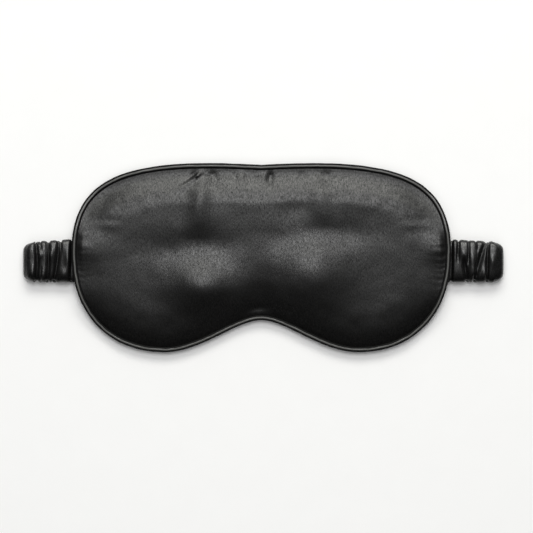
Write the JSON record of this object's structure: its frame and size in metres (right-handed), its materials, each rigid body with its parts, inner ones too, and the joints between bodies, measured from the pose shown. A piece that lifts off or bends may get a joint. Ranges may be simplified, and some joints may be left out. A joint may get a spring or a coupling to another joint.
{
  "type": "sleep eye mask",
  "caption": "Padded satin sleep eye mask with piped edge and ruched elastic strap folded behind it; the strap opens into a head loop.",
  "frame": {"origin": "middle of the base, on the table under the mask lying face up with its strap folded in behind it", "axes": "+X to the right temple side seen from the front, +Y to the forehead edge, +Z out of the front panel"},
  "size_m": [0.2664, 0.1052, 0.0136],
  "materials": {
    "satin": "satin",
    "piping_satin": "satin",
    "ruched_satin": "satin",
    "elastic_web": "matte",
    "blackout_lining": "matte",
    "filling": "matte",
    "cotton_cord": "matte",
    "thread": "matte"
  },
  "bodies": {
    "mask": {"front_panel": "satin", "back_panel": "satin", "filling": "filling", "lining": "blackout_lining", "piping_cover": "piping_satin", "piping_cord": "cotton_cord", "seam_thread": "thread", "left_strap_end": "ruched_satin", "right_strap_end": "ruched_satin"},
    "left_side": {"left_side": "ruched_satin", "left_side_elastic": "elastic_web"},
    "left_fold": {"left_fold": "ruched_satin", "left_fold_elastic": "elastic_web"},
    "left_rear_1": {"left_rear_1": "ruched_satin", "left_rear_1_elastic": "elastic_web"},
    "left_rear_2": {"left_rear_2": "ruched_satin", "left_rear_2_elastic": "elastic_web"},
    "left_rear_3": {"left_rear_3": "ruched_satin", "left_rear_3_elastic": "elastic_web"},
    "left_rear_4": {"left_rear_4": "ruched_satin", "left_rear_4_elastic": "elastic_web"},
    "right_side": {"right_side": "ruched_satin", "right_side_elastic": "elastic_web"},
    "right_fold": {"right_fold": "ruched_satin", "right_fold_elastic": "elastic_web"},
    "right_rear_1": {"right_rear_1": "ruched_satin", "right_rear_1_elastic": "elastic_web"},
    "right_rear_2": {"right_rear_2": "ruched_satin", "right_rear_2_elastic": "elastic_web"},
    "right_rear_3": {"right_rear_3": "ruched_satin", "right_rear_3_elastic": "elastic_web"},
    "right_rear_4": {"right_rear_4": "ruched_satin", "right_rear_4_elastic": "elastic_web"}
  },
  "joints": [
    {"name": "left_seam", "type": "hinge", "parent": "mask", "child": "left_side", "pos_m": [-0.1075, -0.0016, 0.0057], "axis": [0, -1, 0], "range_deg": [0, 90]},
    {"name": "left_fold_upper", "type": "hinge", "parent": "left_side", "child": "left_fold", "pos_m": [-0.1315, -0.0016, 0.0057], "axis": [0, 1, 0], "range_deg": [0, 80.74]},
    {"name": "left_fold_lower", "type": "hinge", "parent": "left_fold", "child": "left_rear_1", "pos_m": [-0.1315, -0.0016, 0.0017], "axis": [0, 1, 0], "range_deg": [0, 68.14]},
    {"name": "left_rear_2", "type": "hinge", "parent": "left_rear_1", "child": "left_rear_2", "pos_m": [-0.09863, -0.0016, 0.0017], "axis": [0, -1, 0], "range_deg": [0, 19.45]},
    {"name": "left_rear_3", "type": "hinge", "parent": "left_rear_2", "child": "left_rear_3", "pos_m": [-0.06575, -0.0016, 0.0017], "axis": [0, -1, 0], "range_deg": [0, 17.83]},
    {"name": "left_rear_4", "type": "hinge", "parent": "left_rear_3", "child": "left_rear_4", "pos_m": [-0.03288, -0.0016, 0.0017], "axis": [0, -1, 0], "range_deg": [0, 16.39]},
    {"name": "right_seam", "type": "hinge", "parent": "mask", "child": "right_side", "pos_m": [0.1075, -0.0016, 0.0057], "axis": [0, 1, 0], "range_deg": [0, 90]},
    {"name": "right_fold_upper", "type": "hinge", "parent": "right_side", "child": "right_fold", "pos_m": [0.1315, -0.0016, 0.0057], "axis": [0, -1, 0], "range_deg": [0, 80.74]},
    {"name": "right_fold_lower", "type": "hinge", "parent": "right_fold", "child": "right_rear_1", "pos_m": [0.1315, -0.0016, 0.0017], "axis": [0, -1, 0], "range_deg": [0, 68.14]},
    {"name": "right_rear_2", "type": "hinge", "parent": "right_rear_1", "child": "right_rear_2", "pos_m": [0.09863, -0.0016, 0.0017], "axis": [0, 1, 0], "range_deg": [0, 19.45]},
    {"name": "right_rear_3", "type": "hinge", "parent": "right_rear_2", "child": "right_rear_3", "pos_m": [0.06575, -0.0016, 0.0017], "axis": [0, 1, 0], "range_deg": [0, 17.83]},
    {"name": "right_rear_4", "type": "hinge", "parent": "right_rear_3", "child": "right_rear_4", "pos_m": [0.03288, -0.0016, 0.0017], "axis": [0, 1, 0], "range_deg": [0, 16.39]}
  ],
  "couplings": [
    {"joint": "left_fold_upper", "follows": "left_seam", "ratio": 0.896},
    {"joint": "left_fold_lower", "follows": "left_seam", "ratio": 0.756},
    {"joint": "left_rear_2", "follows": "left_seam", "ratio": 0.215},
    {"joint": "left_rear_3", "follows": "left_seam", "ratio": 0.197},
    {"joint": "left_rear_4", "follows": "left_seam", "ratio": 0.181},
    {"joint": "right_seam", "follows": "left_seam", "ratio": 1},
    {"joint": "right_fold_upper", "follows": "left_seam", "ratio": 0.896},
    {"joint": "right_fold_lower", "follows": "left_seam", "ratio": 0.756},
    {"joint": "right_rear_2", "follows": "left_seam", "ratio": 0.215},
    {"joint": "right_rear_3", "follows": "left_seam", "ratio": 0.197},
    {"joint": "right_rear_4", "follows": "left_seam", "ratio": 0.181}
  ]
}
